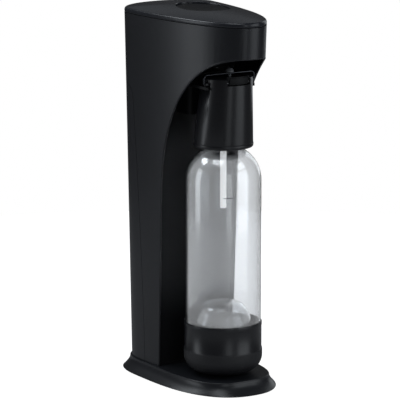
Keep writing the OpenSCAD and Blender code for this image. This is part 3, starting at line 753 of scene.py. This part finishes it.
def matt_floor():
    """Pale painted board, sprayed: almost even, with a faint mottle."""
    material, tree = blank("pale_painted_board")
    place = add(tree, "ShaderNodeTexCoord").outputs["Object"]
    mottle = add(tree, "ShaderNodeTexNoise", {}, {"Scale": per_metre(300), "Detail": 2.0}, {"Vector": place})
    colour = add(
        tree, "ShaderNodeMix", {"data_type": "RGBA"}, {6: linear("ACACAD"), 7: linear("B4B4B5")},
        {0: mottle.outputs["Fac"]},
    )
    path = add(tree, "ShaderNodeLightPath")
    direct = add(
        tree, "ShaderNodeMath", {"operation": "MAXIMUM"}, {},
        {0: path.outputs["Is Camera Ray"], 1: path.outputs["Is Transmission Ray"]},
    )
    lift = add(tree, "ShaderNodeMapRange", {}, {"To Min": 0.0, "To Max": 1.0}, {"Value": direct.outputs[0]})
    shader = add(
        tree, "ShaderNodeBsdfPrincipled", {},
        {"Roughness": 0.9, "Emission Color": (1, 1, 1, 1)},
        {"Base Color": colour.outputs[2], "Emission Strength": lift.outputs["Result"]},
    )
    add(tree, "ShaderNodeOutputMaterial", {}, {}, {"Surface": shader.outputs["BSDF"]})
    return material


bm = bmesh.new()
bmesh.ops.create_circle(bm, cap_ends=True, segments=96, radius=FLOOR_RADIUS)
floor_mesh = bpy.data.meshes.new("floor")
bm.to_mesh(floor_mesh)
bm.free()
floor_mesh.materials.append(matt_floor())
floor = bpy.data.objects.new("floor", floor_mesh)
bpy.context.scene.collection.objects.link(floor)

world = bpy.data.worlds.new("studio")
bpy.context.scene.world = world
world.use_nodes = True
world.node_tree.nodes.clear()
path = add(world.node_tree, "ShaderNodeLightPath")
seen = add(
    world.node_tree, "ShaderNodeMath", {"operation": "MAXIMUM"}, {},
    {0: path.outputs["Is Camera Ray"], 1: path.outputs["Is Transmission Ray"]},
)
spread = add(
    world.node_tree, "ShaderNodeMapRange", {}, {"To Min": ROOM_GLOW, "To Max": ROOM_FILL},
    {"Value": path.outputs["Is Diffuse Ray"]},
)
power = add(
    world.node_tree, "ShaderNodeMapRange", {}, {"To Max": 1.0},
    {"Value": seen.outputs[0], "To Min": spread.outputs["Result"]},
)
sky = add(
    world.node_tree, "ShaderNodeBackground", {}, {"Color": (1.0, 1.0, 1.0, 1.0)},
    {"Strength": power.outputs["Result"]},
)
add(world.node_tree, "ShaderNodeOutputWorld", {}, {}, {"Surface": sky.outputs["Background"]})

CENTRE = Vector((0.0, 0.0, 0.21))


def softbox(name, azimuth, elevation, distance, width, height, watts):
    """A rectangular light aimed at the object."""
    data = bpy.data.lights.new(name, "AREA")
    data.shape = "RECTANGLE"
    data.size = width
    data.size_y = height
    data.energy = watts
    data.color = (0.90, 0.95, 1.0)
    a = math.radians(azimuth)
    e = math.radians(elevation)
    back = Vector((math.sin(a) * math.cos(e), -math.cos(a) * math.cos(e), math.sin(e)))
    light = bpy.data.objects.new(name, data)
    light.location = CENTRE + back * distance
    light.rotation_euler = back.to_track_quat("Z", "Y").to_euler()
    bpy.context.scene.collection.objects.link(light)


softbox("left_box", -114, 8, 1.8, 0.6, 1.4, 4.8)
softbox("front_box", -14, 8, 1.8, 0.5, 1.4, 2.2)
softbox("right_box", 31, 8, 1.8, 1.2, 1.4, 6.5)
softbox("top_box", -70, 72, 1.6, 0.8, 0.8, 5)
softbox("high_right_box", 42, 42, 1.8, 0.8, 0.5, 2)
softbox("rim_box", -138, 48, 1.8, 0.9, 0.4, 6)
softbox("back_box", 150, 30, 1.9, 1.2, 0.4, 0.3)
softbox("back_right_box", 118, 14, 1.9, 0.8, 1.3, 2.5)
bpy.context.scene.view_settings.view_transform = "Standard"

VIEW_AZIMUTH = math.radians(-32)
VIEW_ELEVATION = math.radians(11.63)
VIEW_DISTANCE = 3.3011
VIEW_TARGET = Vector((0, 0.00568, 0.19861))
camera_data = bpy.data.cameras.new("view")
camera_data.lens = 270
camera_data.sensor_width = 36
camera_data.clip_end = 60
camera = bpy.data.objects.new("view", camera_data)
toward = Vector((
    math.sin(VIEW_AZIMUTH) * math.cos(VIEW_ELEVATION),
    -math.cos(VIEW_AZIMUTH) * math.cos(VIEW_ELEVATION),
    math.sin(VIEW_ELEVATION),
))
camera.location = VIEW_TARGET + toward * VIEW_DISTANCE
camera.rotation_euler = toward.to_track_quat("Z", "Y").to_euler()
bpy.context.scene.collection.objects.link(camera)
bpy.context.scene.camera = camera
